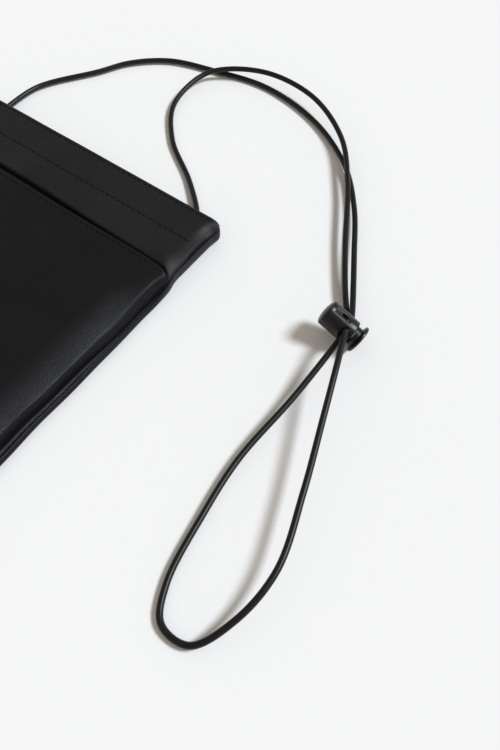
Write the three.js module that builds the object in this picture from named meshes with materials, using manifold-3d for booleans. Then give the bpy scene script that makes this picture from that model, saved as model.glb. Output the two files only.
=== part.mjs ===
// Neck pouch wallet: a flat leather pouch with a slip pocket on its front and a zip sunk in its mouth.
// It lies on its back, with its round neck cord doubled through a spring cord lock.
// Millimetres. The origin is the middle of the pouch's footprint, +X runs across its width,
// +Y towards its mouth, and +Z up from the surface that it lies on.

import * as THREE from 'three';
import { mergeVertices } from 'three/addons/utils/BufferGeometryUtils.js';
import Module from 'manifold-3d';

const wasm = await Module();
wasm.setup();

// ---------- Driving dimensions ----------

// The clearance left between neighbouring pieces.
const GAP = 0.3;

const POUCH = { halfWidth: 77, halfHeight: 95, cornerRadius: 4.5 };
const THICK = { leather: 1.2, facing: 0.8, lining: 0.4, tape: 0.5 };

// Heights of the undersides of the leather panels, at the side seam and in the middle of the pouch.
const BACK = { rim: 3.0, margin: 9 };
const FRONT = { rim: 4.5, behindPocket: 7.6, band: 10.6, margin: 14 };
const POCKET = { rim: 6.1, middle: 11.3, inset: 1.5, margin: 14, mouthY: 61.5 };

// The front panel climbs from behind the pocket to the flat band above it.
const STEP = { lowY: 57, highY: 66 };

// Facings turn the leather's top edge inwards, and the linings start where the facings end.
const FACING = { lowY: 72, highY: POUCH.halfHeight - 0.4, inset: 2.5 };
const LINING = { inset: 4, pocketInset: 6, belowPocketMouth: 4 };

const CORD = { radius: 1.25, exitX: 61, exitZ: 3.1, sides: 8, steps: 80 };
const FERRULE = { radius: 1.55, lowY: 77, length: 7, sides: 16 };
const TUNNEL = { rise: 3.5, topHalf: 2, shoulder: 3, lowY: 73, fade: 3 };

const ZIP = {
  midZ: 5.9, chainY: 84.5, coilHeight: 1.6, coilWidth: 1.9, halfGap: 0.5, lowX: -52, highX: 48.1,
  tapeHalfGap: 0.6, tapeLowX: -55.5, tapeHighX: 55.5, tapeLegZ: 2.8, tapeFootY: 74,
};
const STOP = { length: 1.7, rise: 1.0 };
const SLIDER = {
  restX: -47.2, halfLength: 4.8, wideHalf: 3.1, narrowHalf: 2.3, nose: 1.2, plate: 1.0,
  footHalf: 2.5, webHalf: 0.2, webHalfLength: 1.6, channelLow: 82.6, channelHigh: 85.6,
};
const BRIDGE = { halfLength: 3.2, holeHalf: 2.2, holeHeight: 1.8, bar: 0.8, halfWidth: 0.7 };
const PULL = {
  length: 13, halfWidth: 2.1, corner: 1.2, thickness: 1.0, arm: 1.0, windowStart: 0.5, windowEnd: 3.9,
};

// The lock's own z axis runs from its closed end to its button.
const LOCK = {
  closedEnd: [136.3, 81.5, 13.0], heading: 2, dip: 24, roll: 57,
  radius: 5.4, dome: 1.6, length: 14.2, bore: 4.4, floor: 1.9, chamfer: 0.4,
};
const HOLE = { at: 11.2, halfWidth: 3.05, halfHeight: 1.65, corner: 1.6 };
const STRAND = { offset: 1.45, near: 5, far: 8 };
const GROOVE = { turn: 65, halfWidth: 1.6, radius: 4.95, low: 3.0, high: 10.4 };
const WINDOW = { halfWidth: 1.0, low: 6.2, high: 10.1 };
const PLUNGER = { radius: 4.05, low: 5.2, pocketRadius: 2.6, pocketTop: 8.6, slotLow: 9.65, slotHigh: 15.25 };
const FLANGE = { radius: 6.0, low: 17.1, top: 18.3, neck: 5.3 };
const BARB = { root: 3.45, radius: 4.75, halfWidth: 0.7, low: 8.9, high: 9.8 };
const SPRING = { radius: 2.05, wire: 0.25, sides: 6, turns: 5, stepsPerTurn: 10, low: 2.45, high: 8.05 };

const SEGMENTS = 36;
// Cutting shapes reach this far past whatever they cut.
const CUT = 20;
const radians = THREE.MathUtils.degToRad;

// ---------- Materials ----------

function finish(color, roughness, metalness) {
  return new THREE.MeshStandardMaterial({ color, roughness, metalness });
}

const MATERIAL = {
  leather: () => finish(0x242326, 0.48, 0),
  lining: () => finish(0x2b2b2e, 0.9, 0),
  tape: () => finish(0x1c1c1e, 0.85, 0),
  coil: () => finish(0x18181a, 0.5, 0),
  zipMetal: () => finish(0x2f3032, 0.35, 0.9),
  cord: () => finish(0x1f1f21, 0.6, 0),
  lockPlastic: () => finish(0x2b2c2c, 0.6, 0),
  springSteel: () => finish(0x8e9092, 0.3, 1),
};

// ---------- Geometry helpers ----------

const group = new THREE.Group();

function signedVolume(geometry) {
  const p = geometry.getAttribute('position');
  const index = geometry.getIndex().array;
  const [a, b, c] = [new THREE.Vector3(), new THREE.Vector3(), new THREE.Vector3()];
  let sum = 0;
  for (let i = 0; i < index.length; i += 3) {
    a.fromBufferAttribute(p, index[i]);
    b.fromBufferAttribute(p, index[i + 1]);
    c.fromBufferAttribute(p, index[i + 2]);
    sum += a.dot(b.cross(c)) / 6;
  }
  return sum;
}

// A geometry with shared vertices, its faces pointing out, ready to show or to cut.
function closed(geometry) {
  const bare = geometry.clone();
  bare.deleteAttribute('normal');
  bare.deleteAttribute('uv');
  const merged = mergeVertices(bare, 1e-4);
  const index = Array.from(merged.getIndex().array);
  const kept = [];
  for (let i = 0; i < index.length; i += 3) {
    const [a, b, c] = index.slice(i, i + 3);
    if (a !== b && b !== c && c !== a) kept.push(a, b, c);
  }
  merged.setIndex(kept);
  if (signedVolume(merged) < 0) {
    for (let i = 0; i < kept.length; i += 3) [kept[i], kept[i + 1]] = [kept[i + 1], kept[i]];
    merged.setIndex(kept);
  }
  merged.computeVertexNormals();
  return merged;
}

function toSolid(geometry) {
  const ready = closed(geometry);
  return new wasm.Manifold(new wasm.Mesh({
    numProp: 3,
    vertProperties: new Float32Array(ready.getAttribute('position').array),
    triVerts: new Uint32Array(ready.getIndex().array),
  }));
}

function fromSolid(solid) {
  const mesh = solid.getMesh();
  const geometry = new THREE.BufferGeometry();
  geometry.setAttribute('position', new THREE.BufferAttribute(new Float32Array(mesh.vertProperties), 3));
  geometry.setIndex(Array.from(mesh.triVerts));
  geometry.computeVertexNormals();
  return geometry;
}

function add(name, geometry, material, parent = group) {
  const mesh = new THREE.Mesh(closed(geometry), material());
  mesh.name = name;
  parent.add(mesh);
  return mesh;
}

function boxBetween(low, high) {
  const size = high.map((value, i) => value - low[i]);
  const geometry = new THREE.BoxGeometry(...size);
  return geometry.translate(...low.map((value, i) => value + size[i] / 2));
}

function outlineOf(pairs) {
  return new THREE.Shape(pairs.map(([across, up]) => new THREE.Vector2(across, up)));
}

function roundSection(radius, sides) {
  const corners = Array.from({ length: sides }, (_, i) => (i * 2 * Math.PI) / sides);
  return outlineOf(corners.map((angle) => [radius * Math.cos(angle), radius * Math.sin(angle)]));
}

// A profile of [radius, height] pairs turned about the z axis.
function turned(profile) {
  const points = profile.map(([radius, height]) => new THREE.Vector2(radius, height));
  return new THREE.LatheGeometry(points, SEGMENTS).rotateX(Math.PI / 2);
}

// ---------- Leather, facings and linings ----------

function smooth(value) {
  const t = THREE.MathUtils.clamp(value, 0, 1);
  return t * t * (3 - 2 * t);
}

// How far a panel has risen from its seam: 0 at the edge, 1 once it is past its margin.
function roll(distance, margin) {
  return Math.sin(Math.PI / 2 * THREE.MathUtils.clamp(distance / margin, 0, 1));
}

function rolled(x, y, margin) {
  const side = POUCH.halfWidth - Math.abs(x);
  const foot = y + POUCH.halfHeight;
  return roll(side, margin) * roll(foot, margin);
}

function backUnderside(x, y) {
  return BACK.rim * (1 - rolled(x, y, BACK.margin));
}

function frontUnderside(x, y) {
  const climb = smooth((y - STEP.lowY) / (STEP.highY - STEP.lowY));
  const middle = FRONT.behindPocket + (FRONT.band - FRONT.behindPocket) * climb;
  return FRONT.rim + (middle - FRONT.rim) * rolled(x, y, FRONT.margin);
}

function pocketUnderside(x, y) {
  return POCKET.rim + (POCKET.middle - POCKET.rim) * rolled(x, y, POCKET.margin);
}

// The back facing is raised over each cord end, which lies between it and the back panel.
function tunnelRise(x, y) {
  const fromCord = Math.abs(Math.abs(x) - CORD.exitX);
  const across = 1 - smooth((fromCord - TUNNEL.topHalf) / TUNNEL.shoulder);
  return TUNNEL.rise * across * smooth((y - TUNNEL.lowY) / TUNNEL.fade);
}

const above = (surface, offset) => (x, y) => surface(x, y) + offset;

// Draws the square corners of the plan onto the pouch's rounded ones, in the same way for every sheet.
function roundedPlan(x, y) {
  const radius = POUCH.cornerRadius;
  const innerX = POUCH.halfWidth - radius;
  const innerY = POUCH.halfHeight - radius;
  const u = Math.max(0, Math.abs(x) - innerX) / radius;
  const v = Math.max(0, Math.abs(y) - innerY) / radius;
  if (u === 0 || v === 0) return [x, y];
  return [
    Math.sign(x) * (innerX + radius * u * Math.sqrt(1 - v * v / 2)),
    Math.sign(y) * (innerY + radius * v * Math.sqrt(1 - u * u / 2)),
  ];
}

// Grid lines: close together near the pouch's edges, at the front step and over the cord tunnels.
const EDGE_LINES = [0, 1.5, 3, 4.5, 7, 10, 14];
const MOUTH_LINES = [0, 1.5, 3, 4.5].map((d) => POUCH.halfHeight - d);
const TUNNEL_LINES = [-5, -3.5, -2, 2, 3.5, 5];
const MIDDLE_LINES = [-40, 0, 40];
const NEAREST_LINES = 0.95;

const tunnelLinesX = [-CORD.exitX, CORD.exitX].flatMap((x) => TUNNEL_LINES.map((d) => x + d));
const stepLinesY = [0, 0.25, 0.5, 0.75, 1].map((part) => STEP.lowY + part * (STEP.highY - STEP.lowY));
const linesX = EDGE_LINES.flatMap((d) => [d - POUCH.halfWidth, POUCH.halfWidth - d]);
const linesY = [...EDGE_LINES.map((d) => d - POUCH.halfHeight), ...MOUTH_LINES];

function linesBetween(low, high, lines) {
  const inside = lines.filter((v) => v > low + NEAREST_LINES && v < high - NEAREST_LINES);
  const sorted = [low, ...inside.sort((a, b) => a - b), high];
  return sorted.filter((v, i) => i === 0 || v - sorted[i - 1] > 1e-6);
}

// A sheet of even thickness over a grid: its underside follows surface(x, y).
function sheet(box, surface, thickness, extraX = MIDDLE_LINES, extraY = MIDDLE_LINES) {
  const xs = linesBetween(box.lowX, box.highX, [...linesX, ...extraX]);
  const ys = linesBetween(box.lowY, box.highY, [...linesY, ...extraY]);
  const positions = [];
  for (const lift of [0, thickness]) {
    for (const y of ys) {
      for (const x of xs) positions.push(...roundedPlan(x, y), surface(x, y) + lift);
    }
  }
  const layer = xs.length * ys.length;
  const at = (column, row, top) => top * layer + row * xs.length + column;
  const index = [];
  const quad = (a, b, c, d) => index.push(a, b, c, a, c, d);
  for (let row = 0; row < ys.length - 1; row += 1) {
    for (let column = 0; column < xs.length - 1; column += 1) {
      quad(at(column, row, 1), at(column + 1, row, 1), at(column + 1, row + 1, 1), at(column, row + 1, 1));
      quad(at(column, row, 0), at(column, row + 1, 0), at(column + 1, row + 1, 0), at(column + 1, row, 0));
    }
  }
  const lastColumn = xs.length - 1;
  const lastRow = ys.length - 1;
  const wall = (from, to) => quad(at(...from, 0), at(...to, 0), at(...to, 1), at(...from, 1));
  for (let column = 0; column < lastColumn; column += 1) {
    wall([column, 0], [column + 1, 0]);
    wall([column + 1, lastRow], [column, lastRow]);
  }
  for (let row = 0; row < lastRow; row += 1) {
    wall([0, row + 1], [0, row]);
    wall([lastColumn, row], [lastColumn, row + 1]);
  }
  const geometry = new THREE.BufferGeometry();
  geometry.setAttribute('position', new THREE.Float32BufferAttribute(positions, 3));
  geometry.setIndex(index);
  return geometry;
}

function planBox(inset, lowY, highY) {
  return { lowX: inset - POUCH.halfWidth, highX: POUCH.halfWidth - inset, lowY, highY };
}

const withStep = [...MIDDLE_LINES, ...stepLinesY];

function addPanels() {
  const footY = -POUCH.halfHeight;
  const outer = planBox(0, footY, POUCH.halfHeight);
  const pocketBox = planBox(POCKET.inset, footY + POCKET.inset, POCKET.mouthY);
  add('back_panel', sheet(outer, backUnderside, THICK.leather), MATERIAL.leather);
  add('front_panel', sheet(outer, frontUnderside, THICK.leather, MIDDLE_LINES, withStep), MATERIAL.leather);
  add('pocket_panel', sheet(pocketBox, pocketUnderside, THICK.leather), MATERIAL.leather);
}

function addFacings() {
  const box = planBox(FACING.inset, FACING.lowY, FACING.highY);
  const overTunnels = (x, y) => backUnderside(x, y) + THICK.leather + GAP + tunnelRise(x, y);
  add('back_facing', sheet(box, overTunnels, THICK.facing, tunnelLinesX,
    [TUNNEL.lowY + TUNNEL.fade / 2, TUNNEL.lowY + TUNNEL.fade]), MATERIAL.leather);
  add('front_facing', sheet(box, above(frontUnderside, -GAP - THICK.facing), THICK.facing), MATERIAL.leather);
}

function addLinings() {
  const box = planBox(LINING.inset, LINING.inset - POUCH.halfHeight, FACING.lowY - GAP);
  add('back_lining', sheet(box, above(backUnderside, THICK.leather + GAP), THICK.lining), MATERIAL.lining);
  add('front_lining', sheet(box, above(frontUnderside, -GAP - THICK.lining), THICK.lining,
    MIDDLE_LINES, withStep), MATERIAL.lining);
  const pocketBox = planBox(LINING.pocketInset, LINING.pocketInset - POUCH.halfHeight,
    POCKET.mouthY - LINING.belowPocketMouth);
  add('pocket_lining', sheet(pocketBox, above(pocketUnderside, -GAP - THICK.lining), THICK.lining),
    MATERIAL.lining);
}

// ---------- Zip, sunk in the mouth and facing out of it ----------

const coilLowY = ZIP.chainY - ZIP.coilHeight / 2;
const coilHighY = ZIP.chainY + ZIP.coilHeight / 2;

// side is -1 for the half on the back facing and +1 for the half on the front facing.
function zipBox(lowX, highX, lowY, highY, innerZ, outerZ, side) {
  const z = [ZIP.midZ + side * innerZ, ZIP.midZ + side * outerZ].sort((a, b) => a - b);
  return boxBetween([lowX, lowY, z[0]], [highX, highY, z[1]]);
}

// A tape lies under its coil, turns down beside it and runs along the facing to its seam.
function tapeGeometry(side) {
  const topY = coilLowY - GAP;
  const edgeZ = ZIP.midZ + side * ZIP.tapeHalfGap;
  const legZ = ZIP.midZ + side * ZIP.tapeLegZ;
  const outerZ = legZ + side * THICK.tape;
  const outline = outlineOf([
    [-edgeZ, topY], [-outerZ, topY], [-outerZ, ZIP.tapeFootY], [-legZ, ZIP.tapeFootY],
    [-legZ, topY - THICK.tape], [-edgeZ, topY - THICK.tape],
  ]);
  const length = ZIP.tapeHighX - ZIP.tapeLowX;
  const geometry = new THREE.ExtrudeGeometry(outline, { depth: length, bevelEnabled: false });
  return geometry.rotateY(Math.PI / 2).translate(ZIP.tapeLowX, 0, 0);
}

function addZipHalf(place, side) {
  const outer = ZIP.halfGap + ZIP.coilWidth;
  const stopHighX = ZIP.lowX - GAP;
  add(`zip_tape_${place}`, tapeGeometry(side), MATERIAL.tape);
  add(`zip_coil_${place}`, zipBox(ZIP.lowX, ZIP.highX, coilLowY, coilHighY, ZIP.halfGap, outer, side),
    MATERIAL.coil);
  add(`zip_top_stop_${place}`, zipBox(stopHighX - STOP.length, stopHighX, coilLowY, coilHighY + STOP.rise,
    ZIP.halfGap, outer, side), MATERIAL.zipMetal);
}

function addBottomStop() {
  const lowX = ZIP.highX + GAP;
  const outer = ZIP.halfGap + ZIP.coilWidth;
  add('zip_bottom_stop', boxBetween([lowX, coilLowY, ZIP.midZ - outer],
    [lowX + STOP.length, coilHighY + STOP.rise, ZIP.midZ + outer]), MATERIAL.zipMetal);
}

// Two plates joined by a thin web that passes between the coils.
function sliderBody() {
  const { halfLength, wideHalf, narrowHalf, nose, plate, footHalf, channelLow, channelHigh } = SLIDER;
  const outline = outlineOf([
    [-halfLength, narrowHalf], [nose - halfLength, wideHalf], [0, wideHalf], [halfLength, narrowHalf],
    [halfLength, -narrowHalf], [0, -wideHalf], [nose - halfLength, -wideHalf], [-halfLength, -narrowHalf],
  ]);
  const topPlate = new THREE.ExtrudeGeometry(outline, { depth: plate, bevelEnabled: false });
  topPlate.rotateX(Math.PI / 2).translate(0, channelHigh + plate, 0);
  const lowPlate = boxBetween([-halfLength, channelLow - plate, -footHalf],
    [halfLength, channelLow, footHalf]);
  const web = boxBetween([-SLIDER.webHalfLength, channelLow - plate / 2, -SLIDER.webHalf],
    [SLIDER.webHalfLength, channelHigh + plate / 2, SLIDER.webHalf]);
  return toSolid(topPlate).add(toSolid(lowPlate)).add(toSolid(web));
}

// The bridge that holds the pull stands on the slider's outer plate.
function sliderBridge() {
  const plateTop = SLIDER.channelHigh + SLIDER.plate;
  const holeTop = plateTop + BRIDGE.holeHeight;
  const arch = boxBetween([-BRIDGE.halfLength, plateTop - SLIDER.plate / 2, -BRIDGE.halfWidth],
    [BRIDGE.halfLength, holeTop + BRIDGE.bar, BRIDGE.halfWidth]);
  const hole = boxBetween([-BRIDGE.holeHalf, plateTop, -CUT], [BRIDGE.holeHalf, holeTop, CUT]);
  return toSolid(arch).subtract(toSolid(hole));
}

function addSlider() {
  const slider = fromSolid(sliderBody().add(sliderBridge()));
  add('zip_slider', slider, MATERIAL.zipMetal).position.set(SLIDER.restX, 0, ZIP.midZ);
}

// The pull lies back over the closed chain. Its bar passes under the bridge, and it turns about that bar.
const pullPivotY = SLIDER.channelHigh + SLIDER.plate + BRIDGE.holeHeight / 2;

function addPull() {
  const { length, halfWidth, corner, thickness, arm, windowStart, windowEnd } = PULL;
  const tab = outlineOf([
    [-thickness / 2, -halfWidth], [length - corner, -halfWidth], [length, corner - halfWidth],
    [length, halfWidth - corner], [length - corner, halfWidth], [-thickness / 2, halfWidth],
  ]);
  const plate = new THREE.ExtrudeGeometry(tab, { depth: thickness, bevelEnabled: false });
  plate.rotateX(Math.PI / 2).translate(0, thickness / 2, 0);
  const window = boxBetween([windowStart, -CUT, arm - halfWidth], [windowEnd, CUT, halfWidth - arm]);
  const pull = toSolid(plate).subtract(toSolid(window));
  add('zip_pull', fromSolid(pull), MATERIAL.zipMetal).position.set(SLIDER.restX, pullPivotY, ZIP.midZ);
}

// ---------- Cord lock ----------

const lockTilt = new THREE.Group();
lockTilt.position.set(...LOCK.closedEnd);
lockTilt.rotation.set(0, radians(90 + LOCK.dip), radians(LOCK.heading), 'ZYX');
const lock = new THREE.Group();
lock.rotation.z = radians(LOCK.roll);
lockTilt.add(lock);
group.add(lockTilt);
group.updateMatrixWorld(true);

// A hole across the lock along its x axis, with rounded corners, for both strands side by side.
function crossHole(low, high) {
  const inner = HOLE.halfWidth - HOLE.corner;
  const quarter = Math.PI / 2;
  const shape = new THREE.Shape();
  shape.absarc(inner, low + HOLE.corner, HOLE.corner, -quarter, 0);
  shape.absarc(inner, high - HOLE.corner, HOLE.corner, 0, quarter);
  shape.absarc(-inner, high - HOLE.corner, HOLE.corner, quarter, 2 * quarter);
  shape.absarc(-inner, low + HOLE.corner, HOLE.corner, 2 * quarter, 3 * quarter);
  const options = { depth: 2 * CUT, bevelEnabled: false, curveSegments: 6 };
  const geometry = new THREE.ExtrudeGeometry(shape, options).translate(0, 0, -CUT);
  // The shape's own x, y and z become the lock's y, z and x.
  const swap = new THREE.Matrix4().set(0, 0, 1, 0, 1, 0, 0, 0, 0, 1, 0, 0, 0, 0, 0, 1);
  return toSolid(geometry.applyMatrix4(swap));
}

// A block that stands out from the lock's axis on one side, turned to where the grooves are.
function radialBlock(innerRadius, outerRadius, halfWidth, low, high, side) {
  const block = boxBetween([innerRadius, -halfWidth, low], [outerRadius, halfWidth, high]);
  return toSolid(block.rotateZ(Math.PI * side - radians(GROOVE.turn)));
}

// A hollow barrel with a domed closed end. Each side has a groove with a window for a barb.
function barrelSolid() {
  const { radius, dome, length, bore, floor, chamfer } = LOCK;
  const domeAngles = [0, 18, 36, 54, 72, 90].map(radians);
  const domeProfile = domeAngles.map((angle) => [radius * Math.sin(angle), dome * (1 - Math.cos(angle))]);
  let barrel = toSolid(turned([
    ...domeProfile, [radius, length - chamfer], [radius - chamfer, length], [bore, length],
    [bore, floor], [0, floor],
  ]));
  barrel = barrel.subtract(crossHole(HOLE.at - HOLE.halfHeight, HOLE.at + HOLE.halfHeight));
  for (const side of [0, 1]) {
    const groove = radialBlock(GROOVE.radius, CUT, GROOVE.halfWidth, GROOVE.low, GROOVE.high, side);
    const window = radialBlock(radius / 2, CUT, WINDOW.halfWidth, WINDOW.low, WINDOW.high, side);
    barrel = barrel.subtract(groove).subtract(window);
  }
  return barrel;
}

// The button is the plunger's flange. Its barbs run in the windows and stop it from coming out.
function plungerSolid() {
  const { chamfer } = LOCK;
  let plunger = toSolid(turned([
    [0, PLUNGER.pocketTop], [PLUNGER.pocketRadius, PLUNGER.pocketTop], [PLUNGER.pocketRadius, PLUNGER.low],
    [PLUNGER.radius - chamfer, PLUNGER.low], [PLUNGER.radius, PLUNGER.low + chamfer],
    [PLUNGER.radius, FLANGE.low - chamfer], [FLANGE.neck, FLANGE.low],
    [FLANGE.radius, FLANGE.low + chamfer / 2], [FLANGE.radius, FLANGE.top - chamfer],
    [FLANGE.radius - chamfer, FLANGE.top], [0, FLANGE.top],
  ]));
  plunger = plunger.subtract(crossHole(PLUNGER.slotLow, PLUNGER.slotHigh));
  for (const side of [0, 1]) {
    plunger = plunger.add(radialBlock(BARB.root, BARB.radius, BARB.halfWidth, BARB.low, BARB.high, side));
  }
  return plunger;
}

class Helix extends THREE.Curve {
  getPoint(t) {
    const angle = t * SPRING.turns * 2 * Math.PI;
    const height = SPRING.low + t * (SPRING.high - SPRING.low);
    return new THREE.Vector3(SPRING.radius * Math.cos(angle), SPRING.radius * Math.sin(angle), height);
  }
}

function springGeometry() {
  return new THREE.ExtrudeGeometry(roundSection(SPRING.wire, SPRING.sides), {
    steps: SPRING.turns * SPRING.stepsPerTurn, extrudePath: new Helix(), bevelEnabled: false,
  });
}

function addLock() {
  add('lock_barrel', fromSolid(barrelSolid()), MATERIAL.lockPlastic, lock);
  add('lock_plunger', fromSolid(plungerSolid()), MATERIAL.lockPlastic, lock);
  add('lock_spring', springGeometry(), MATERIAL.springSteel, lock);
}

// ---------- Neck cord ----------

// The route of the cord, by hand: from the left exit, out over the surface and round to the lock.
const LEFT_STRAND = [
  [-61, 98, 2.9], [-60.5, 120, 2.0], [-44, 147, 1.9], [-35.5, 162, 1.9], [-20, 175.5, 1.8], [3.6, 183, 1.6],
  [32, 188.3, 1.4], [65.8, 181.5, 1.6], [94, 164.3, 2.4], [112.6, 143.2, 3.3], [128, 118.5, 4.2],
];
// The loop beyond the lock stands off the surface on one side and comes down to it at its far end.
const LOOP = [
  [154.5, 62, 14.6], [162.5, 40.5, 12.6], [172.2, 14, 10.9], [180.2, -13, 9.8], [178.2, -33, 6.6],
  [170.5, -47, 2.5], [158.9, -47, 1.6], [152, -36, 1.7], [147, -10, 2.2], [144.6, 14, 3.1], [147, 46, 6.4],
];
// Back from the lock, over the other strand twice, and down to the right exit.
const RIGHT_STRAND = [
  [134, 102, 4.0], [121.5, 121.5, 4.7], [103, 152.5, 5.6], [84.5, 175.5, 6.1], [57, 191, 6.6],
  [27, 191.5, 6.4], [4.7, 176.9, 4.9], [2.7, 152, 2.2], [17.7, 131, 1.4], [41.6, 114.1, 1.5],
  [56.8, 100.7, 2.5],
];

// The strand is straight where it passes through the lock; along is measured from the lock's axis.
function inLock(side, along) {
  return new THREE.Vector3(-along, -side * STRAND.offset, HOLE.at).applyMatrix4(lock.matrixWorld);
}

function throughLock(side, towardsLoop) {
  const stations = [-STRAND.far, -STRAND.near, STRAND.near, STRAND.far];
  return stations.map((along) => inLock(side, towardsLoop * along));
}

function addCord() {
  const startY = FERRULE.lowY + FERRULE.length + GAP;
  const leftEnd = [-CORD.exitX, startY, CORD.exitZ];
  const leftExit = [-CORD.exitX, POUCH.halfHeight, CORD.exitZ];
  const rightExit = [CORD.exitX, POUCH.halfHeight, CORD.exitZ];
  const rightEnd = [CORD.exitX, startY, CORD.exitZ];
  const toVector = (point) => new THREE.Vector3(...point);
  const route = new THREE.CatmullRomCurve3([
    ...[leftEnd, leftExit, ...LEFT_STRAND].map(toVector),
    ...throughLock(-1, 1),
    ...LOOP.map(toVector),
    ...throughLock(1, -1),
    ...[...RIGHT_STRAND, rightExit, rightEnd].map(toVector),
  ], false, 'centripetal');
  add('neck_cord', new THREE.ExtrudeGeometry(roundSection(CORD.radius, CORD.sides), {
    steps: CORD.steps, extrudePath: route, bevelEnabled: false,
  }), MATERIAL.cord);
}

function addFerrules() {
  for (const [place, side] of [['left', -1], ['right', 1]]) {
    const ferrule = new THREE.CylinderGeometry(FERRULE.radius, FERRULE.radius, FERRULE.length, FERRULE.sides);
    add(`cord_ferrule_${place}`, ferrule, MATERIAL.zipMetal)
      .position.set(side * CORD.exitX, FERRULE.lowY + FERRULE.length / 2, CORD.exitZ);
  }
}

addPanels();
addFacings();
addLinings();
addZipHalf('back', -1);
addZipHalf('front', 1);
addBottomStop();
addSlider();
addPull();
addLock();
addCord();
addFerrules();

export default group;
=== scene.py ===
"""Neck pouch wallet: the looks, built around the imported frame. Metres in the row frame.

Heights, widths and distances of the leather are worked out in millimetres.
They are turned into metres where a mesh is made.
"""
import math

import bmesh
import bpy
import numpy as np
from mathutils import Matrix, Vector


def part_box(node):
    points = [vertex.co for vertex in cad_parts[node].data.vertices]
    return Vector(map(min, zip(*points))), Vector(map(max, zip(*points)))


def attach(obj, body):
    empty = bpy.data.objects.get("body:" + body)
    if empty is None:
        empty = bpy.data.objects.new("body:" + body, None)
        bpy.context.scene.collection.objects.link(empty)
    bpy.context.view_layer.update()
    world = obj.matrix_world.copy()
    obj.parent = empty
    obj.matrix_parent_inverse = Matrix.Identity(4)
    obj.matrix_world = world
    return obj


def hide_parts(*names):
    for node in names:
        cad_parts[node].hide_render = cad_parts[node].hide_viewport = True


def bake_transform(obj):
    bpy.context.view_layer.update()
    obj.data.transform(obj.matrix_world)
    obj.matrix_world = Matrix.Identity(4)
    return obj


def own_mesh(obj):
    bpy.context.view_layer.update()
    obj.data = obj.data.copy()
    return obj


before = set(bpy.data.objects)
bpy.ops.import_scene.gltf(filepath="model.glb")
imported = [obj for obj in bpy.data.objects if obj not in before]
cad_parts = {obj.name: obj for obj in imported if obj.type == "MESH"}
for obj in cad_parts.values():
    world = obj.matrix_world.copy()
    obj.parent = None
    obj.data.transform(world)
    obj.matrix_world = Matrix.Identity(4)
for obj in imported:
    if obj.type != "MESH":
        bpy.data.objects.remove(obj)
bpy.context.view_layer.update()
MM = 0.001

# ---------- Sizes ----------

back_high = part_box("back_panel")[1]
front_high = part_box("front_panel")[1]
pocket_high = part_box("pocket_panel")[1]
facing_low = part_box("back_facing")[0]

HALF_WIDTH = back_high.x / MM
HALF_HEIGHT = back_high.y / MM
BAND_TOP = front_high.z / MM
POCKET_TOP = pocket_high.z / MM
MOUTH_Y = pocket_high.y / MM
FACING_Y = facing_low.y / MM
CORNER = 4.5
LEATHER = 1.2
WELD = 2e-6

# The back panel's edge is rolled up round the sides and the foot, and the front is sewn in inside it.
# From the mouth down the side seam lies in from the outline by mouth_inset, middle_inset and inset.
SEAM = {"inset": 4.0, "middle_inset": 1.9, "mouth_inset": 0.3, "foot": 3.4,
        "height": 4.6, "mouth_height": 8.0, "middle_from": MOUTH_Y + 2, "middle_over": 12,
        "low_from": 36, "low_over": 46, "climb_from": MOUTH_Y - 16, "climb_over": 18}
# Profile of the rolled edge from its tucked end: [in from the outline, height of the outer face].
ROLL = [[4.0, 3.5], [3.75, 4.5], [3.3, 4.8], [2.8, 4.6], [2.35, 4.2], [2.0, 4.05], [1.65, 4.4], [1.3, 4.75],
        [0.8, 4.6], [0.2, 3.85], [0.0, 3.0], [0.45, 1.75], [1.5, 0.8], [3.0, 0.3], [5.0, 0.08], [7.5, 0.0]]
ROLL_STEP = 0.32
ROLL_THINNED_POINTS = 4.0
# How much the roll's crest is painted lighter: partly wear, partly a painted highlight.
ROLL_WEAR_AND_SHEEN = 0.3
BACK_FURROW_SHARE = 0.8

# The sides draw in everywhere, more beside the band, and less again at the mouth's corners.
WAIST = {"all": 0.45, "band": 1.3, "band_from": 57, "band_over": 8, "corner": 0.8, "corner_from": 88,
         "corner_over": 6, "side_reach": 22, "side_over": 20, "wander_over": 20}
# Slow waves of the sides: height, length and shift.
SIDE_WAVES = [(0.16, 11.0, 1), (0.10, 4.7, 2)]

# The band rises to its full height over climb. It starts at a gap from the pocket's mouth, which narrows
# from left to right. Behind the pocket the front panel follows the pocket, lower by a clearance.
BAND = {"rim": 10.7, "margin": 6.0, "fold": 0.2, "fold_depth": 1.2, "behind_pocket": 8.4, "hem": 1.15,
        "gap": 3.1, "gap_narrows": 2.4, "gap_from": -20, "gap_over": 92, "climb_start": 1.3, "climb": 2.3,
        "clearance": 4.1, "least_clearance": 0.35, "clearance_over": 14, "hidden": 2.5, "hidden_over": 3,
        "unevenness": 0.6}
# The pocket rises steeply from its seam over margin, and gently over slope.
POCKET = {"margin": 2.4, "low_margin": 1.5, "low_from": 26, "low_over": 22,
          "slope": 16.0, "slope_share": 0.58, "mouth_share": 0.5, "slope_from": MOUTH_Y - 9,
          "slope_over": 22, "rim_depth": 0.1, "hem": 0.95, "hem_depth": 8, "edge": 0.3, "unevenness": 1.3}
MOUTH_FALL = {"depth": 2.4, "reach": 8, "over": 14}

# Swellings and hollows down the sides: place, reach and height.
WAIST_SWELLS = [(-40, 14, 0.6)]
SEAM_SWELLS = [(79, 8, 0.9), (-11, 10, -0.7)]
RIM_HOLLOWS = [(88, 5, -2.4), (63, 6, -1.5)]
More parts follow.
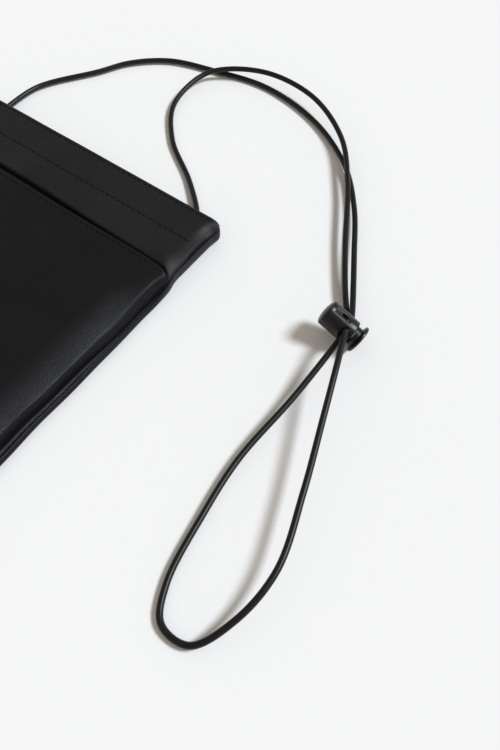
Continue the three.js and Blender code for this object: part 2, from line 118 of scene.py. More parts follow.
# Swellings and hollows on a face: place, length and width, height, and turn.
BAND_DENTS = [((58.7, 84), (9, 4), -0.5, 0.2), ((68.5, 66.5), (2.6, 2.6), 0.55, 0.0),
              ((-52, 86), (8, 4), -0.4, -0.3)]
POCKET_DENTS = [((0, MOUTH_Y), (55, 9), 0.35, 0.0), ((50, 30), (26, 7), 0.5, 0.65),
                ((60, 48), (9, 6), -0.5, 0.8), ((-52, 36), (24, 8), 0.45, -0.7),
                ((20, -30), (40, 16), -0.5, 0.3)]

STITCH = {"pitch": 3.0, "margin": 0.06, "radius": 0.2, "sides": 6, "skew": 0.10, "wander": 0.05,
          "wander_turn": 1.7, "groove": 0.3, "groove_half": 0.55, "between_holes": 0.45, "sunk": 0.6,
          "back_height": 0.28, "back_lift": -0.4}
# Height of a stitch over the leather, from one needle hole to the next.
STITCH_LIFT = np.array([-0.45, -0.05, 0.13, 0.17, 0.18, 0.17, 0.13, -0.05, -0.45])
TOP_STITCH_Y = HALF_HEIGHT - 1.9
HEM_STITCH_Y = HALF_HEIGHT - 16.5
POCKET_STITCH_Y = MOUTH_Y - 1.9
# Furrows that rows of stitches draw in: their place on y, and how far they run from the middle.
FRONT_FURROWS = [(TOP_STITCH_Y, HALF_WIDTH - 4), (HEM_STITCH_Y, HALF_WIDTH - 2)]
POCKET_FURROWS = [(POCKET_STITCH_Y, HALF_WIDTH - 7)]
BACK_FURROWS = [(TOP_STITCH_Y, HALF_WIDTH - 6), (HEM_STITCH_Y, HALF_WIDTH - 6)]
FACING_FURROWS = [(TOP_STITCH_Y, HALF_WIDTH - 8)]

# ---------- Small maths ----------


def smooth(value):
    """Rises from 0 to 1 with a gentle start and end."""
    t = np.clip(value, 0, 1)
    return t * t * (3 - 2 * t)


def quarter(value):
    """Rises from 0 to 1 like a quarter of a sine wave: steep at first, level at the end."""
    return np.sin(np.pi / 2 * np.clip(value, 0, 1))


def swells(y, found):
    """Soft swellings and hollows along y."""
    return sum(height * np.exp(-((y - place) / reach) ** 2) for place, reach, height in found)


def dent(x, y, place, size, height, turn):
    """A soft hill or dent, longer one way than the other."""
    c, s = math.cos(turn), math.sin(turn)
    along = ((x - place[0]) * c + (y - place[1]) * s) / size[0]
    across = ((y - place[1]) * c - (x - place[0]) * s) / size[1]
    return height * np.exp(-along * along - across * across)


def dents(x, y, found):
    return sum(dent(x, y, *values) for values in found)


def centripetal(points, spacing, samples=60):
    """Evenly spaced points on the smooth curve through the given ones, found from samples on each span."""
    p = np.array(points, float)
    p = np.vstack([2 * p[0] - p[1], p, 2 * p[-1] - p[-2]])
    found = []
    for p0, p1, p2, p3 in zip(p, p[1:], p[2:], p[3:]):
        d0, d1, d2 = [max(np.linalg.norm(b - a), 1e-9) ** 0.5 for a, b in ((p0, p1), (p1, p2), (p2, p3))]
        m1 = ((p1 - p0) / d0 - (p2 - p0) / (d0 + d1) + (p2 - p1) / d1) * d1
        m2 = ((p2 - p1) / d1 - (p3 - p1) / (d1 + d2) + (p3 - p2) / d2) * d1
        t = np.linspace(0, 1, samples, endpoint=False)[:, None]
        found.append((2 * t**3 - 3 * t**2 + 1) * p1 + (t**3 - 2 * t**2 + t) * m1
                     + (3 * t**2 - 2 * t**3) * p2 + (t**3 - t**2) * m2)
    found = np.vstack(found + [p[-2:-1]])
    along = np.concatenate([[0], np.cumsum(np.linalg.norm(np.diff(found, axis=0), axis=1))])
    even = np.linspace(0, along[-1], max(2, round(along[-1] / spacing)) + 1)
    return np.stack([np.interp(even, along, found[:, i]) for i in range(3)], axis=1)


# ---------- Meshes ----------


def shade_smooth(mesh):
    mesh.polygons.foreach_set("use_smooth", np.ones(len(mesh.polygons), bool))


def make_mesh(name, points, faces, body, uv=None, wear_and_sheen=None):
    """A smooth-shaded object from points in metres. It rides on a body."""
    mesh = bpy.data.meshes.new(name)
    mesh.from_pydata([tuple(p) for p in points], [], faces)
    if uv is not None:
        layer = mesh.uv_layers.new(name="along")
        layer.data.foreach_set("uv", np.asarray(uv, np.float32).ravel())
    if wear_and_sheen is not None:
        mesh.attributes.new("wear_and_sheen", "FLOAT", "POINT").data.foreach_set("value", wear_and_sheen.astype(np.float32))
    shade_smooth(mesh)
    obj = bpy.data.objects.new(name, mesh)
    bpy.context.scene.collection.objects.link(obj)
    if body:
        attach(obj, body)
    return obj


def welded(obj, distance):
    """Joins the points that meet, drops what has no area and turns the faces outwards."""
    bm = bmesh.new()
    bm.from_mesh(obj.data)
    bmesh.ops.remove_doubles(bm, verts=bm.verts, dist=distance)
    bmesh.ops.dissolve_degenerate(bm, edges=bm.edges, dist=distance / 2)
    bmesh.ops.recalc_face_normals(bm, faces=bm.faces)
    bm.to_mesh(obj.data)
    bm.free()
    shade_smooth(obj.data)
    return obj


def grid_faces(rows, columns, closed_rows=False):
    """Faces of a grid of points, row by row. With closed_rows the last row joins the first."""
    def at(i, j):
        return (i % rows) * columns + j

    last = rows if closed_rows else rows - 1
    return [(at(i, j), at(i, j + 1), at(i + 1, j + 1), at(i + 1, j))
            for i in range(last) for j in range(columns - 1)]


def unit_rows(rows):
    return rows / np.linalg.norm(rows, axis=1)[:, None]


# A direction that no tube's path starts along.
ACROSS_NO_PATH = [0.31, 0.17, 0.93]


def tube_data(path, radius, sides):
    """Points, faces and (around, along) for each face corner of a closed tube along a path."""
    path = np.asarray(path, float)
    tangent = unit_rows(np.gradient(path, axis=0))
    side = np.cross(tangent[0], ACROSS_NO_PATH)
    angles = np.arange(sides) * 2 * np.pi / sides
    points, lengths, along = [], [], 0.0
    for i, (p, t) in enumerate(zip(path, tangent)):
        side = side - t * (side @ t)
        side /= np.linalg.norm(side)
        other = np.cross(t, side)
        along += np.linalg.norm(p - path[i - 1]) if i else 0.0
        lengths.append(along)
        points += list(p + radius * (np.cos(angles)[:, None] * side + np.sin(angles)[:, None] * other))
    faces, uv = [], []
    for i in range(len(path) - 1):
        for j in range(sides):
            k = (j + 1) % sides
            faces.append((i * sides + j, i * sides + k, (i + 1) * sides + k, (i + 1) * sides + j))
            u0, u1 = j / sides, (j + 1) / sides
            uv += [(u0, lengths[i]), (u1, lengths[i]), (u1, lengths[i + 1]), (u0, lengths[i + 1])]
    for ring, flip in ((0, True), (len(path) - 1, False)):
        cap = [ring * sides + j for j in range(sides)]
        faces.append(tuple(reversed(cap)) if flip else tuple(cap))
        uv += [(0.0, lengths[ring])] * sides
    return points, faces, uv


def joined(parts):
    """Several (points, faces, uv) as one."""
    points, faces, uv = [], [], []
    for p, f, u in parts:
        start = len(points)
        points += list(p)
        faces += [tuple(v + start for v in face) for face in f]
        uv += u
    return points, faces, uv


# ---------- Materials ----------


class Nodes:
    """A material's node tree, with short calls to add and join nodes."""

    def __init__(self, name):
        self.material = bpy.data.materials.new(name)
        self.material.use_nodes = True
        self.tree = self.material.node_tree
        self.shader = self.tree.nodes["Principled BSDF"]

    def put(self, socket, value):
        if isinstance(value, bpy.types.NodeSocket):
            self.tree.links.new(value, socket)
        else:
            socket.default_value = value

    def add(self, kind, inputs=None, output=0, **settings):
        node = self.tree.nodes.new("ShaderNode" + kind)
        for key, value in settings.items():
            setattr(node, key, value)
        for key, value in (inputs or {}).items():
            self.put(node.inputs[key], value)
        return node.outputs[output]

    def math(self, operation, a, b=0.0):
        return self.add("Math", {0: a, 1: b}, operation=operation)

    def blend(self, factor, a, b):
        """Colour a where factor is 0 and colour b where it is 1. They go into sockets 6 and 7."""
        return self.add("Mix", {0: factor, 6: a, 7: b}, output=2, data_type="RGBA")

    def span(self, value, low, high, to_low, to_high):
        return self.add("MapRange", {0: value, 1: low, 2: high, 3: to_low, 4: to_high})

    def bump(self, height, distance, strength=1.0, normal=None):
        inputs = {"Height": height, "Distance": distance, "Strength": strength}
        if normal is not None:
            inputs["Normal"] = normal
        return self.add("Bump", inputs)

    def finish(self, **sockets):
        for key, value in sockets.items():
            self.put(self.shader.inputs[key.replace("_", " ").title().replace("Ior", "IOR")], value)
        return self.material


def coordinates(nodes):
    """Places in the object's own metres."""
    return nodes.add("TexCoord", output=3)


def scaled(nodes, vector, factors):
    return nodes.add("VectorMath", {0: vector, 1: factors}, operation="MULTIPLY")


def noise(nodes, vector, per_metre, detail=3.0, roughness=0.55):
    return nodes.add("TexNoise", {"Vector": vector, "Scale": per_metre, "Detail": detail,
                                  "Roughness": roughness})


def leather(name, dark, light, roughness, grain=1.0, shine=0.26):
    """Fine-grained leather: small pebbles with creases between them, and shinier edges painted lighter,
    partly from wear and partly as a painted highlight.
    """
    n = Nodes(name)
    xyz = coordinates(n)
    shift = scaled(n, noise(n, xyz, 900, 2.0), (0.0004, 0.0004, 0.0004))
    warp = n.add("VectorMath", {0: xyz, 1: shift}, operation="ADD")
    pebbles = n.add("TexVoronoi", {"Vector": warp, "Scale": 2100.0, "Smoothness": 0.35}, feature="SMOOTH_F1")
    pores = noise(n, xyz, 5200, 4.0, 0.7)
    cloud = n.span(noise(n, xyz, 42, 5.0, 0.62), 0.32, 0.68, 0.0, 1.0)
    # This attribute lightens the colour on edges and crests: partly wear, partly a painted highlight.
    wear_and_sheen = n.add("Attribute", output=2, attribute_name="wear_and_sheen")
    creases = n.span(pebbles, 0.15, 0.75, 0.0, 1.0)
    tone = n.math("ADD", n.math("MULTIPLY", cloud, 0.75), n.math("MULTIPLY", wear_and_sheen, 0.35))
    colour = n.blend(tone, (*dark, 1), (*light, 1))
    colour = n.blend(n.math("MULTIPLY", creases, 0.35), colour, (dark[0] / 2, dark[1] / 2, dark[2] / 2, 1))
    rough = n.math("ADD", n.span(cloud, 0.0, 1.0, roughness + 0.07, roughness - 0.05),
                   n.math("MULTIPLY", creases, 0.12))
    rough = n.math("SUBTRACT", rough, n.math("MULTIPLY", wear_and_sheen, 0.09))
    shape = n.bump(noise(n, xyz, 230, 3.0), 0.00014 * grain, 0.6)
    shape = n.bump(n.math("MULTIPLY", creases, -1.0), 0.00005 * grain, 0.8, shape)
    shape = n.bump(pores, 0.00003 * grain, 0.8, shape)
    n.finish(specular_ior_level=shine)
    return n.finish(base_color=colour, roughness=rough, normal=shape)


def cloth(name, dark, light, pitch, roughness=0.85, sheen=0.3):
    """Plain woven cloth, its threads along X and Y."""
    n = Nodes(name)
    xyz = coordinates(n)
    x, y, z = [n.add("SeparateXYZ", {0: xyz}, output=i) for i in range(3)]
    turn = 2 * math.pi / pitch
    warp = n.math("SINE", n.math("MULTIPLY", x, turn))
    weft = n.math("SINE", n.math("MULTIPLY", n.math("ADD", y, z), turn))
    weave = n.span(n.math("MULTIPLY", warp, weft), -1.0, 1.0, 0.0, 1.0)
    fuzz = noise(n, xyz, 3000, 3.0)
    colour = n.blend(n.math("MULTIPLY", weave, n.math("ADD", fuzz, 0.3)), (*dark, 1), (*light, 1))
    rough = n.span(fuzz, 0.3, 0.7, roughness - 0.06, roughness + 0.08)
    shape = n.bump(weave, pitch * 0.25, 0.7)
    shape = n.bump(fuzz, 0.00004, 0.6, shape)
    n.finish(sheen_weight=sheen, sheen_roughness=0.5, specular_ior_level=0.3)
    return n.finish(base_color=colour, roughness=rough, normal=shape)


def braid(name, dark, light, carriers=10, pitch=0.0017):
    """A fine braided cord. It reads where a point is around and along the cord."""
    n = Nodes(name)
    uv = n.add("UVMap", uv_map="along")
    around = n.add("SeparateXYZ", {0: uv}, output=0)
    along = n.add("SeparateXYZ", {0: uv}, output=1)
    turn = n.math("MULTIPLY", around, 2 * math.pi * carriers)
    run = n.math("MULTIPLY", along, 2 * math.pi / pitch * 2)
    left = n.math("SINE", n.math("ADD", turn, run))
    right = n.math("SINE", n.math("SUBTRACT", turn, run))
    strands = n.span(n.math("MAXIMUM", left, right), -0.2, 1.0, 0.0, 1.0)
    fibres = noise(n, scaled(n, uv, (60.0, 2500.0, 1.0)), 1.0, 3.0)
    cloud = noise(n, coordinates(n), 60, 2.0)
    colour = n.blend(n.math("MULTIPLY", strands, n.math("ADD", fibres, 0.2)), (*dark, 1), (*light, 1))
    rough = n.span(n.math("ADD", fibres, cloud), 0.6, 1.4, 0.3, 0.42)
    shape = n.bump(strands, 0.00003, 0.5)
    shape = n.bump(fibres, 0.00002, 0.5, shape)
    n.finish(sheen_weight=0.02, sheen_roughness=0.4, specular_ior_level=0.27)
    return n.finish(base_color=colour, roughness=rough, normal=shape)


def moulded(name, dark, light, roughness, grain=0.00003):
    """Moulded plastic or coated metal with a very fine even texture and light scuffs."""
    n = Nodes(name)
    xyz = coordinates(n)
    fine = noise(n, xyz, 7000, 2.0)
    scuffs = n.span(noise(n, xyz, 420, 5.0, 0.7), 0.52, 0.7, 0.0, 1.0)
    colour = n.blend(n.math("MULTIPLY", scuffs, 0.5), (*dark, 1), (*light, 1))
    rough = n.math("ADD", n.span(fine, 0.3, 0.7, roughness - 0.05, roughness + 0.05),
                   n.math("MULTIPLY", scuffs, 0.06))
    shape = n.bump(fine, grain, 0.7)
    n.finish(specular_ior_level=0.4)
    return n.finish(base_color=colour, roughness=rough, normal=shape)


def metal(name, dark, light, roughness):
    """Metal with a fine drawn texture along z and uneven tarnish."""
    n = Nodes(name)
    xyz = coordinates(n)
    fine = noise(n, scaled(n, xyz, (1.0, 1.0, 0.15)), 6000, 3.0)
    colour = n.blend(n.span(noise(n, xyz, 500, 4.0), 0.4, 0.7, 0.0, 1.0), (*dark, 1), (*light, 1))
    rough = n.span(fine, 0.3, 0.7, roughness - 0.05, roughness + 0.08)
    n.finish(metallic=1.0)
    return n.finish(base_color=colour, roughness=rough, normal=n.bump(fine, 0.00001, 0.5))


def paint(obj, material):
    obj.data.materials.clear()
    obj.data.materials.append(material)
    return obj


BLACK_LEATHER = leather("black_leather", (0.0022, 0.0021, 0.0032), (0.007, 0.0068, 0.0092), 0.42,
                        shine=0.215)
# The same black leather painted lighter for the band and the facing: a painted highlight standing in for the
# band's brighter reflection.
PAINTED_BRIGHTER_LEATHER = leather("black_leather_painted_brighter", (0.006, 0.0062, 0.0076), (0.0145, 0.0148, 0.0165), 0.43,
                      grain=0.7)
LINING_CLOTH = cloth("lining_cloth", (0.010, 0.010, 0.011), (0.035, 0.035, 0.038), 0.0006)
TAPE_CLOTH = cloth("zip_tape_cloth", (0.006, 0.006, 0.007), (0.022, 0.022, 0.024), 0.0009)
THREAD = cloth("black_thread", (0.002, 0.002, 0.002), (0.008, 0.008, 0.0085), 0.00025, 0.7, 0.02)
NYLON = moulded("nylon_coil", (0.006, 0.006, 0.006), (0.015, 0.015, 0.016), 0.4)
CORD_BRAID = braid("cord_braid", (0.0035, 0.0035, 0.0038), (0.011, 0.011, 0.0118))
LOCK_PLASTIC = moulded("lock_plastic", (0.0035, 0.0035, 0.0035), (0.010, 0.010, 0.010), 0.34)
ZIP_METAL = metal("dark_zip_metal", (0.035, 0.036, 0.038), (0.08, 0.08, 0.085), 0.32)
SPRING_STEEL = metal("spring_steel", (0.35, 0.36, 0.37), (0.55, 0.56, 0.57), 0.25)

# ---------- Camera, light and floor ----------

CAMERA = {"place": (0.2158, -0.0761, 0.250), "looks_down": 58.67, "turn": 36.24,
          "lens": 36.0, "sensor": 36.0, "clip_start": 0.01}
SUN = {"energy": 2.8, "angle": 15, "colour": (0.945, 1.0, 1.07), "comes_from": (0.54, 0.40, 0.74)}
SURROUNDINGS = {"colour": (1.0, 0.915, 0.80, 1), "strength": 0.39}
FLOOR_HALF = 12.0


def add_camera():
    data = bpy.data.cameras.new("camera")
    data.lens = CAMERA["lens"]
    data.sensor_width = CAMERA["sensor"]
    data.clip_start = CAMERA["clip_start"]
    camera = bpy.data.objects.new("camera", data)
    camera.location = CAMERA["place"]
    camera.rotation_euler = (math.radians(90 - CAMERA["looks_down"]), 0, math.radians(CAMERA["turn"]))
    bpy.context.scene.collection.objects.link(camera)
    bpy.context.scene.camera = camera


def add_light():
    """A broad lamp from the right, a little cool, and pale surroundings that are a little warmer."""
    data = bpy.data.lights.new("key", "SUN")
    data.energy = SUN["energy"]
    data.angle = math.radians(SUN["angle"])
    data.color = SUN["colour"]
    key = bpy.data.objects.new("key", data)
    key.rotation_euler = Vector(SUN["comes_from"]).to_track_quat("Z", "Y").to_euler()
    bpy.context.scene.collection.objects.link(key)
    world = bpy.data.worlds.new("surroundings")
    world.use_nodes = True
    background = world.node_tree.nodes["Background"]
    background.inputs["Color"].default_value = SURROUNDINGS["colour"]
    background.inputs["Strength"].default_value = SURROUNDINGS["strength"]
    bpy.context.scene.world = world
    bpy.context.scene.view_settings.view_transform = "Standard"


def add_floor():
    points = [(x * FLOOR_HALF, y * FLOOR_HALF, 0.0) for y in (-1, 1) for x in (-1, 1)]
    floor = make_mesh("floor", points, [(0, 1, 3, 2)], None)
    n = Nodes("pale_floor")
    tone = noise(n, coordinates(n), 3, 2.0)
    colour = n.blend(tone, (0.90, 0.90, 0.90, 1), (0.92, 0.92, 0.92, 1))
    floor.data.materials.append(n.finish(base_color=colour, roughness=0.9))
    n.finish(specular_ior_level=0.1)


add_camera()
add_light()
add_floor()

# ---------- Neck cord ----------

CORD_D = 0.0025
CORD_SIDES = 18
CORD_STEP = 0.0005
EXIT_X, EXIT_Z = 0.061, 0.0031
START_Y = 0.0843

# The cord's route: from the left exit to the lock, round the loop, and from the lock to the right exit.
LEFT_STRAND = [
    (-0.061, 0.098, 0.0029), (-0.0605, 0.120, 0.0020), (-0.044, 0.147, 0.0019), (-0.0355, 0.162, 0.0019),
    (-0.020, 0.1755, 0.0018), (0.0036, 0.183, 0.0016), (0.032, 0.1883, 0.0014), (0.0658, 0.1815, 0.0016),
    (0.094, 0.1643, 0.0024), (0.1126, 0.1432, 0.0033), (0.128, 0.1185, 0.0042),
]
LOOP = [
    (0.1545, 0.062, 0.0146), (0.1625, 0.0405, 0.0126), (0.1722, 0.014, 0.0109), (0.1802, -0.013, 0.0098),
    (0.1782, -0.033, 0.0066), (0.1705, -0.047, 0.0025), (0.1589, -0.047, 0.0016), (0.152, -0.036, 0.0017),
    (0.147, -0.010, 0.0022), (0.1446, 0.014, 0.0031), (0.147, 0.046, 0.0064),
]
RIGHT_STRAND = [
    (0.134, 0.102, 0.0040), (0.1215, 0.1215, 0.0047), (0.103, 0.1525, 0.0056), (0.0845, 0.1755, 0.0061),
    (0.057, 0.191, 0.0066), (0.027, 0.1915, 0.0064), (0.0047, 0.1769, 0.0049), (0.0027, 0.152, 0.0022),
    (0.0177, 0.131, 0.0014), (0.0416, 0.1141, 0.0015), (0.0568, 0.1007, 0.0025),
]

# The lock's own z axis runs from its closed end to its button, and its x axis along the cord.
LOCK_TURNS = [(2, "Z"), (114, "Y"), (57, "Z")]
LOCK_PLACE = Matrix.Translation((0.1363, 0.0815, 0.0130))
for degrees, axis_name in LOCK_TURNS:
    LOCK_PLACE = LOCK_PLACE @ Matrix.Rotation(math.radians(degrees), 4, axis_name)
# Heights on the lock's own z axis, and how far each strand lies from the middle of the hole.
HOLE_AT = 0.0112
STRAND_OFFSET = 0.00145
# Places on each strand's straight stretch, from the middle of the hole.
STRAIGHT_RUN = (-0.008, -0.005, 0.005, 0.008)


def in_lock(side, along):
    """A place on the strand that runs through the lock on that side, in the row frame."""
    return tuple(LOCK_PLACE @ Vector((-along, -side * STRAND_OFFSET, HOLE_AT)))


def through_lock(side, towards_loop):
    """The straight stretch through the lock. towards_loop is 1 or -1."""
    return [in_lock(side, towards_loop * along) for along in STRAIGHT_RUN]


def cord_route():
    left = [(-EXIT_X, START_Y, EXIT_Z), (-EXIT_X, back_high.y, EXIT_Z)]
    right = [(EXIT_X, back_high.y, EXIT_Z), (EXIT_X, START_Y, EXIT_Z)]
    points = left + LEFT_STRAND + through_lock(-1, 1) + LOOP + through_lock(1, -1) + RIGHT_STRAND + right
    return centripetal(points, CORD_STEP)


def add_cord():
    route = cord_route()
    points, faces, uv = tube_data(route, CORD_D / 2, CORD_SIDES)
    cord = make_mesh("neck_cord_braided", points, faces, None, uv)
    paint(cord, CORD_BRAID)
    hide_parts("neck_cord")
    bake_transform(cord)


# ---------- CAD pieces with softened edges ----------

# Flatter than the first, faces count as one. Sharper than the second, an edge is rounded.
# Sharper than the third, shading breaks.
FLAT_ANGLE, EDGE_ANGLE, SHADE_ANGLE = [math.radians(degrees) for degrees in (0.6, 28, 40)]


def softened(node, body, edge, material):
    """A finer copy of a CAD node: the same shape with its edges rounded."""
    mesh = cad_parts[node].data.copy()
    obj = bpy.data.objects.new(node + "_smooth", mesh)
    bpy.context.scene.collection.objects.link(obj)
    bm = bmesh.new()
    bm.from_mesh(mesh)
    bmesh.ops.remove_doubles(bm, verts=bm.verts, dist=WELD)
    bmesh.ops.dissolve_limit(bm, angle_limit=FLAT_ANGLE, verts=bm.verts, edges=bm.edges)
    sharp = [e for e in bm.edges if len(e.link_faces) == 2 and e.calc_face_angle(0) > EDGE_ANGLE]
    if edge:
        bmesh.ops.bevel(bm, geom=sharp, offset=edge, offset_type="OFFSET", segments=3, profile=0.5,
                        affect="EDGES", clamp_overlap=True)
    bmesh.ops.triangulate(bm, faces=[f for f in bm.faces if len(f.verts) > 4])
    bm.to_mesh(mesh)
    bm.free()
    shade_smooth(mesh)
    mesh.set_sharp_from_angle(angle=SHADE_ANGLE)
    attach(obj, body)
    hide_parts(node)
    return paint(obj, material)


softened("lock_barrel", "cord_lock", 0.00018, LOCK_PLASTIC)
softened("lock_plunger", "lock_plunger", 0.00015, LOCK_PLASTIC)
softened("lock_spring", "cord_lock", 0, SPRING_STEEL)
softened("zip_slider", "zip_slider", 0.00018, ZIP_METAL)
softened("zip_pull", "zip_pull", 0.0002, ZIP_METAL)
for stop in ("zip_top_stop_back", "zip_top_stop_front", "zip_bottom_stop"):
    softened(stop, "pouch", 0.0003, ZIP_METAL)
for ferrule in ("cord_ferrule_left", "cord_ferrule_right"):
    softened(ferrule, "pouch", 0.0002, ZIP_METAL)
add_cord()


def compress_spring():
    """Gives the lock's spring a mesh of its own."""
    spring = bpy.data.objects["lock_spring_smooth"]
    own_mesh(spring)


compress_spring()

# ---------- Shape of the leather ----------


def rounded_plan(x, y):
    """Draws the plan's square corners onto the pouch's rounded ones."""
    inner_x, inner_y = HALF_WIDTH - CORNER, HALF_HEIGHT - CORNER
    u = np.clip(np.abs(x) - inner_x, 0, None) / CORNER
    v = np.clip(np.abs(y) - inner_y, 0, None) / CORNER
    both = (u > 0) & (v > 0)
    new_x = np.sign(x) * (inner_x + CORNER * u * np.sqrt(np.clip(1 - v * v / 2, 0, 1)))
    new_y = np.sign(y) * (inner_y + CORNER * v * np.sqrt(np.clip(1 - u * u / 2, 0, 1)))
    return np.where(both, new_x, x), np.where(both, new_y, y)


def outline_pull(x, y):
    """The sides draw in beside the band and wander slightly below it."""
    band = WAIST["band"] * smooth((y - WAIST["band_from"]) / WAIST["band_over"])
    corner = WAIST["corner"] * smooth((y - WAIST["corner_from"]) / WAIST["corner_over"])
    waist = corner - WAIST["all"] - band + swells(y, WAIST_SWELLS)
    wander = sum(height * np.sin(y / length + shift * np.sign(x)) for height, length, shift in SIDE_WAVES)
    below = smooth((MOUTH_Y - y) / WAIST["wander_over"])
    share = smooth((np.abs(x) - (HALF_WIDTH - WAIST["side_reach"])) / WAIST["side_over"])
    return x + np.sign(x) * share * (waist + wander * below)


def seam_inset(y):
    """How far the side seam lies in from the outline: close to it beside the band, further in lower down."""
    to_middle = SEAM["middle_inset"] - SEAM["mouth_inset"]
    to_low = SEAM["inset"] - SEAM["middle_inset"]
    return (SEAM["mouth_inset"] + to_middle * smooth((SEAM["middle_from"] - y) / SEAM["middle_over"])
            + to_low * smooth((SEAM["low_from"] - y) / SEAM["low_over"]) + swells(y, SEAM_SWELLS))


def seam_height(y):
    climb = smooth((y - SEAM["climb_from"]) / SEAM["climb_over"])
    return SEAM["height"] + (SEAM["mouth_height"] - SEAM["height"]) * climb


def undulation(x, y):
    """Slow unevenness of soft leather: broad swellings, slanted waves and long ones."""
    broad = 0.10 * np.sin(x / 13.0 + 0.6) * np.sin(y / 17.0 + 1.3)
    slanted = 0.06 * np.sin(x / 6.1 - y / 9.3)
    long_waves = 0.05 * np.sin(x / 23.0 + y / 7.7 + 2.0)
    return broad + slanted + long_waves


def mouth_fall(x):
    """The pocket's mouth curves down where it meets the side seams."""
    reach = MOUTH_FALL["reach"]
    return MOUTH_FALL["depth"] * smooth((np.abs(x) - (HALF_WIDTH - reach)) / reach) ** 2


def band_top(x, y, side, foot):
    """Top face of the front panel. side and foot are the distances from the side and foot seams."""
    above_mouth = y - MOUTH_Y + mouth_fall(x)
    gap = BAND["gap"] - BAND["gap_narrows"] * smooth((x - BAND["gap_from"]) / BAND["gap_over"])
    climb = quarter((above_mouth - gap + BAND["climb_start"]) / BAND["climb"])
    top = BAND["behind_pocket"] + (BAND_TOP - BAND["behind_pocket"]) * climb
    top = top + undulation(x, y) * BAND["unevenness"] + dents(x, y, BAND_DENTS)
    rim = BAND["rim"] + swells(y, RIM_HOLLOWS)
    in_band = rim + (top - rim) * quarter(side / BAND["margin"])
    in_band = in_band - (rim - seam_height(y) + BAND["fold_depth"]) * (1 - quarter(side / BAND["fold"]))
    from_seams = quarter(side / BAND["clearance_over"]) * quarter(foot / BAND["clearance_over"])
    least = BAND["least_clearance"]
    behind = pocket_top(x, y, side, foot) - BAND["clearance"] * (least + (1 - least) * from_seams)
    return behind + (in_band - behind) * smooth((above_mouth + BAND["hidden"]) / BAND["hidden_over"])


def pocket_top(x, y, side, foot):
    """Top face of the pocket. side and foot are the distances from its side and foot seams."""
    low_down = smooth((POCKET["low_from"] - y) / POCKET["low_over"])
    margin = POCKET["margin"] + (POCKET["low_margin"] - POCKET["margin"]) * low_down
    top = POCKET_TOP + undulation(x, y) * POCKET["unevenness"] + dents(x, y, POCKET_DENTS)
    rim = seam_height(y) - POCKET["rim_depth"]
    roll = quarter(side / margin) * quarter(foot / POCKET["low_margin"])
    slope = quarter(side / POCKET["slope"]) * quarter(foot / POCKET["slope"])
    below_mouth = smooth((POCKET["slope_from"] - y) / POCKET["slope_over"])
    share = POCKET["slope_share"] * (POCKET["mouth_share"] + (1 - POCKET["mouth_share"]) * below_mouth)
    return rim + (top - rim) * (roll + (slope - roll) * share)


def groove(x, y, line_y, ends):
    """The furrow that a row of stitches draws in, deeper at each needle hole."""
    across = np.exp(-((y - line_y) / STITCH["groove_half"]) ** 2)
    holes = 0.5 + 0.5 * np.cos(2 * np.pi * x / STITCH["pitch"])
    inside = smooth(ends - np.abs(x) + 0.5)
    between = STITCH["between_holes"]
    return STITCH["groove"] * across * inside * (between + (1 - between) * holes**3)


def grooves(x, y, furrows):
    return sum(groove(x, y, line_y, ends) for line_y, ends in furrows)


def spaced(low, high, step, fine=(), fine_step=0.3, reach=1.5):
    """Grid lines at an even step, and closer together around each fine place."""
    lines = list(np.linspace(low, high, max(2, round((high - low) / step) + 1)))
    for place_at in fine:
        lines = [v for v in lines if abs(v - place_at) > reach or v in (low, high)]
        near = np.arange(place_at - reach, place_at + reach + fine_step / 2, fine_step)
        lines += [v for v in near if low < v < high]
    lines = sorted(lines)
    return np.array([v for i, v in enumerate(lines) if i == 0 or v - lines[i - 1] > fine_step / 3])


# ---------- Panels ----------

# Distances from a seam or an edge at which a panel's grid has a line, where it bends most.
NEAR_SEAM = [0, 0.12, 0.3, 0.55, 0.85, 1.2, 1.7, 2.4, 3.2, 4.2, 5.4, 6.8, 8.4]
NEAR_FOOT = [0, 0.15, 0.35, 0.6, 0.95, 1.4, 2.0, 2.8, 3.8, 5.0]
NEAR_TOP = [0.9, 0.75, 0.5, 0.3, 0.15, 0.05, 0.0]
ACROSS_STEP = 0.75
# Even grid lines of a section: how far they keep from its foot, bend and fold, and their steps.
SECTION = {"from_foot": 6.5, "step": 1.6, "from_bend": 0.3, "hem_step": 2.5, "under_from_foot": 5.0,
           "under_from_fold": 0.6, "under_step": 4.0}
# The same for the back, whose lines keep from its roll and its top.
BACK_GRID = {"from_roll": 1.5, "from_top": 1.0, "x_step": 2.0, "y_step": 1.8, "fine_step": 0.35, "reach": 1.2}
THINNED_OVER = 0.9
# Panels are painted lighter near their seams and top edge: partly wear, partly a painted highlight.
PANEL_WEAR_AND_SHEEN = {"seam": 0.1, "seam_reach": 1.6, "top_reach": 1.2}


def shares_across():
    """Places across a panel from seam to seam, from -1 to 1, closer together near the seams."""
    edge = np.array(NEAR_SEAM) / HALF_WIDTH
    inner = 1 - edge[-1]
    step = ACROSS_STEP / HALF_WIDTH
    return np.concatenate([edge - 1, np.arange(-inner + step, inner, step), (1 - edge)[::-1]])


